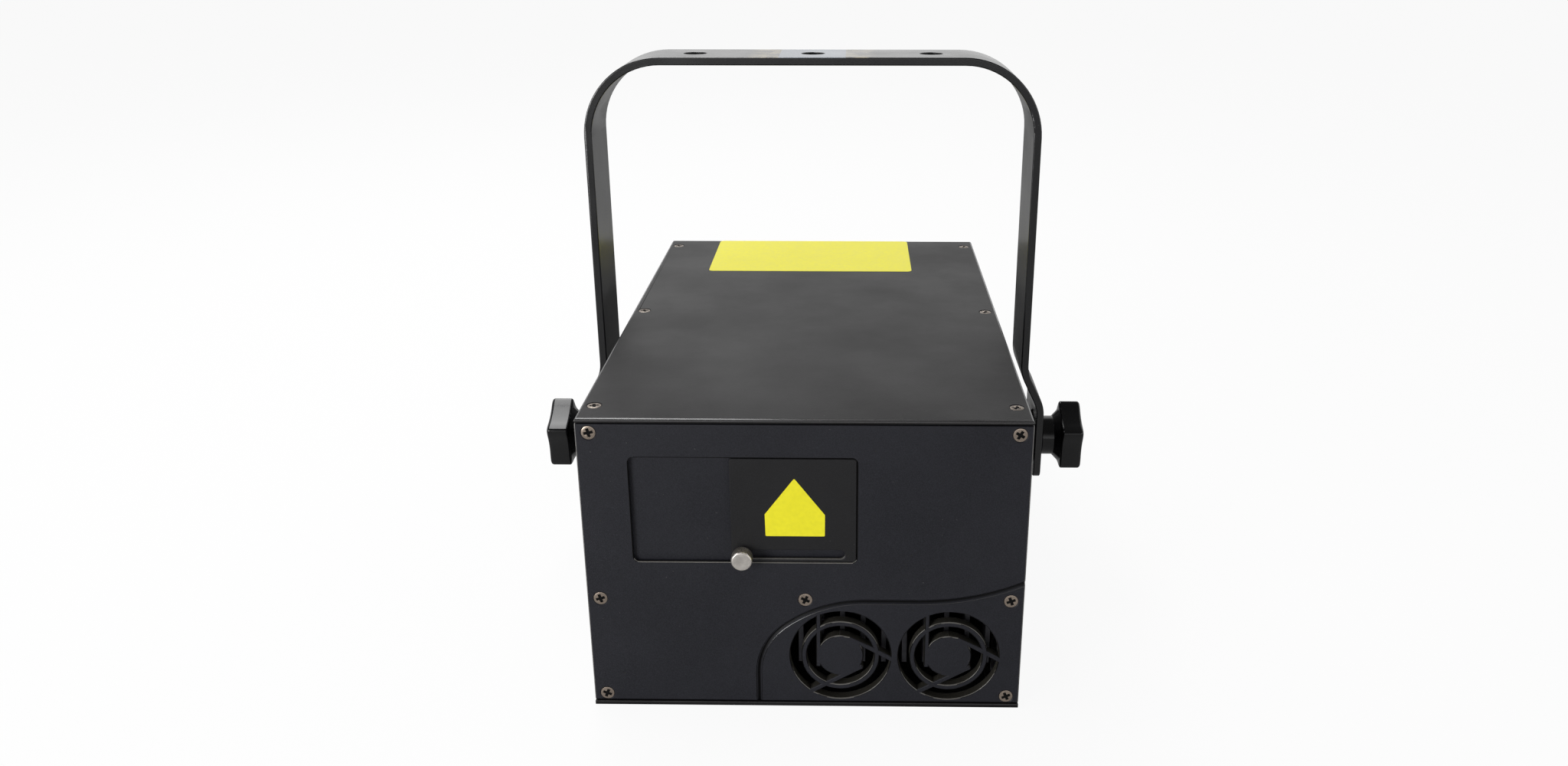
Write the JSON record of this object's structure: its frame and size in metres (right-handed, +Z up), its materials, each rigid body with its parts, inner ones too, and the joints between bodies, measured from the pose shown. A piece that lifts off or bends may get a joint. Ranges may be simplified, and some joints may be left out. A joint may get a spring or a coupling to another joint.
{
  "type": "laser show projector",
  "caption": "Box-shaped stage laser projector with a tilting yoke, star knobs, a sliding aperture shutter, vented front and rear sockets.",
  "frame": {"origin": "middle of the base plate's underside", "axes": "+Z up, -Y out of the front panel, +X to the right as seen from the front"},
  "size_m": [0.2994, 0.3297, 0.284],
  "materials": {
    "case_black": "fine powder coat",
    "shutter_black": "satin paint",
    "yoke_black": "satin powder coat",
    "knob_black": "glossy moulding",
    "screw_nickel": "bronze-toned nickel",
    "thumb_nickel": "nickel plated",
    "stud_steel": "zinc plated",
    "raw_aluminium": "machined",
    "sink_aluminium": "dark anodised",
    "board_green": "solder mask",
    "fan_black": "moulded",
    "window_glass": "coated clear",
    "dichroic_glass": "dichroic coating",
    "scan_mirror": "front silvered",
    "supply_case": "plated sheet",
    "fitting_black": "moulded",
    "socket_metal": "nickel plated",
    "display_dark": "smoked acrylic",
    "button_grey": "moulded"
  },
  "bodies": {
    "housing": {"base_plate": "case_black", "top_cover": "case_black", "side_panel_left": "case_black", "side_panel_right": "case_black", "front_panel": "case_black", "rear_panel": "case_black", "corner_posts": "raw_aluminium", "front_screws": "screw_nickel", "rear_screws": "screw_nickel", "top_screws": "screw_nickel", "base_screws": "screw_nickel", "clinch_nuts": "stud_steel", "aperture_window": "window_glass", "window_retainer": "sink_aluminium", "pivot_boss_left": "yoke_black", "pivot_boss_right": "yoke_black", "pivot_nuts": "stud_steel", "knob_washers": "stud_steel", "heat_sink": "sink_aluminium", "optical_plate": "raw_aluminium", "plate_rails": "raw_aluminium", "fan_frame_left": "fan_black", "fan_frame_right": "fan_black", "red_laser": "raw_aluminium", "green_laser": "raw_aluminium", "blue_laser": "raw_aluminium", "dichroic_mounts": "raw_aluminium", "dichroic_mirrors": "dichroic_glass", "scanner_block": "raw_aluminium", "x_galvo_motor": "stud_steel", "y_galvo_motor": "stud_steel", "driver_board": "board_green", "driver_bracket": "raw_aluminium", "power_supply": "supply_case", "main_board": "board_green", "board_standoffs": "stud_steel", "display_window": "display_dark", "mains_inlet": "fitting_black", "switch_frame": "fitting_black", "key_barrel": "socket_metal", "signal_socket": "socket_metal", "control_in": "fitting_black", "control_out": "fitting_black"},
    "yoke": {"yoke": "yoke_black"},
    "shutter": {"shutter_plate": "shutter_black"},
    "thumbscrew": {"thumbscrew": "thumb_nickel"},
    "knob_left": {"knob_left": "knob_black", "knob_stud_left": "stud_steel"},
    "knob_right": {"knob_right": "knob_black", "knob_stud_right": "stud_steel"},
    "fan_rotor_left": {"fan_rotor_left": "fan_black"},
    "fan_rotor_right": {"fan_rotor_right": "fan_black"},
    "x_scan_mirror": {"x_scan_mirror": "scan_mirror"},
    "y_scan_mirror": {"y_scan_mirror": "scan_mirror"},
    "power_rocker": {"power_rocker": "fitting_black"},
    "key_rotor": {"key_rotor": "socket_metal"},
    "menu_button_1": {"menu_button_1": "button_grey"},
    "menu_button_2": {"menu_button_2": "button_grey"},
    "menu_button_3": {"menu_button_3": "button_grey"},
    "menu_button_4": {"menu_button_4": "button_grey"}
  },
  "joints": [
    {"name": "yoke_tilt", "type": "hinge", "parent": "housing", "child": "yoke", "pos_m": [0, 0, 0.073], "axis": [1, 0, 0], "range_deg": [-100, 100]},
    {"name": "knob_left_turn", "type": "hinge", "parent": "housing", "child": "knob_left", "pos_m": [0, 0, 0.073], "axis": [-1, 0, 0], "range_deg": [0, 360]},
    {"name": "knob_right_turn", "type": "hinge", "parent": "housing", "child": "knob_right", "pos_m": [0, 0, 0.073], "axis": [1, 0, 0], "range_deg": [0, 360]},
    {"name": "shutter_slide", "type": "slide", "parent": "housing", "child": "shutter", "axis": [-1, 0, 0], "range_m": [0, 0.044]},
    {"name": "thumbscrew_turn", "type": "hinge", "parent": "housing", "child": "thumbscrew", "pos_m": [-0.0281, -0.158, 0.0805], "axis": [0, -1, 0], "range_deg": [0, 360]},
    {"name": "fan_left_spin", "type": "hinge", "parent": "housing", "child": "fan_rotor_left", "pos_m": [0.0161, 0.04, 0.0277], "axis": [0, 1, 0], "continuous": true},
    {"name": "fan_right_spin", "type": "hinge", "parent": "housing", "child": "fan_rotor_right", "pos_m": [0.0663, 0.04, 0.0277], "axis": [0, 1, 0], "continuous": true},
    {"name": "x_scan", "type": "hinge", "parent": "housing", "child": "x_scan_mirror", "pos_m": [0.001, -0.105, 0.092], "axis": [0, 1, 0], "range_deg": [-15, 15]},
    {"name": "y_scan", "type": "hinge", "parent": "housing", "child": "y_scan_mirror", "pos_m": [0.001, -0.105, 0.104], "axis": [1, 0, 0], "range_deg": [-15, 15]},
    {"name": "rocker_tip", "type": "hinge", "parent": "housing", "child": "power_rocker", "pos_m": [0.018, 0.1585, 0.03], "axis": [-1, 0, 0], "range_deg": [0, 20]},
    {"name": "key_turn", "type": "hinge", "parent": "housing", "child": "key_rotor", "pos_m": [0.077, 0.155, 0.112], "axis": [0, 1, 0], "range_deg": [0, 90]},
    {"name": "button_1_press", "type": "slide", "parent": "housing", "child": "menu_button_1", "axis": [0, -1, 0], "range_m": [0, 0.0012], "stiffness_N_per_m": 600, "springref_m": -0.0006},
    {"name": "button_2_press", "type": "slide", "parent": "housing", "child": "menu_button_2", "axis": [0, -1, 0], "range_m": [0, 0.0012], "stiffness_N_per_m": 600, "springref_m": -0.0006},
    {"name": "button_3_press", "type": "slide", "parent": "housing", "child": "menu_button_3", "axis": [0, -1, 0], "range_m": [0, 0.0012], "stiffness_N_per_m": 600, "springref_m": -0.0006},
    {"name": "button_4_press", "type": "slide", "parent": "housing", "child": "menu_button_4", "axis": [0, -1, 0], "range_m": [0, 0.0012], "stiffness_N_per_m": 600, "springref_m": -0.0006}
  ]
}
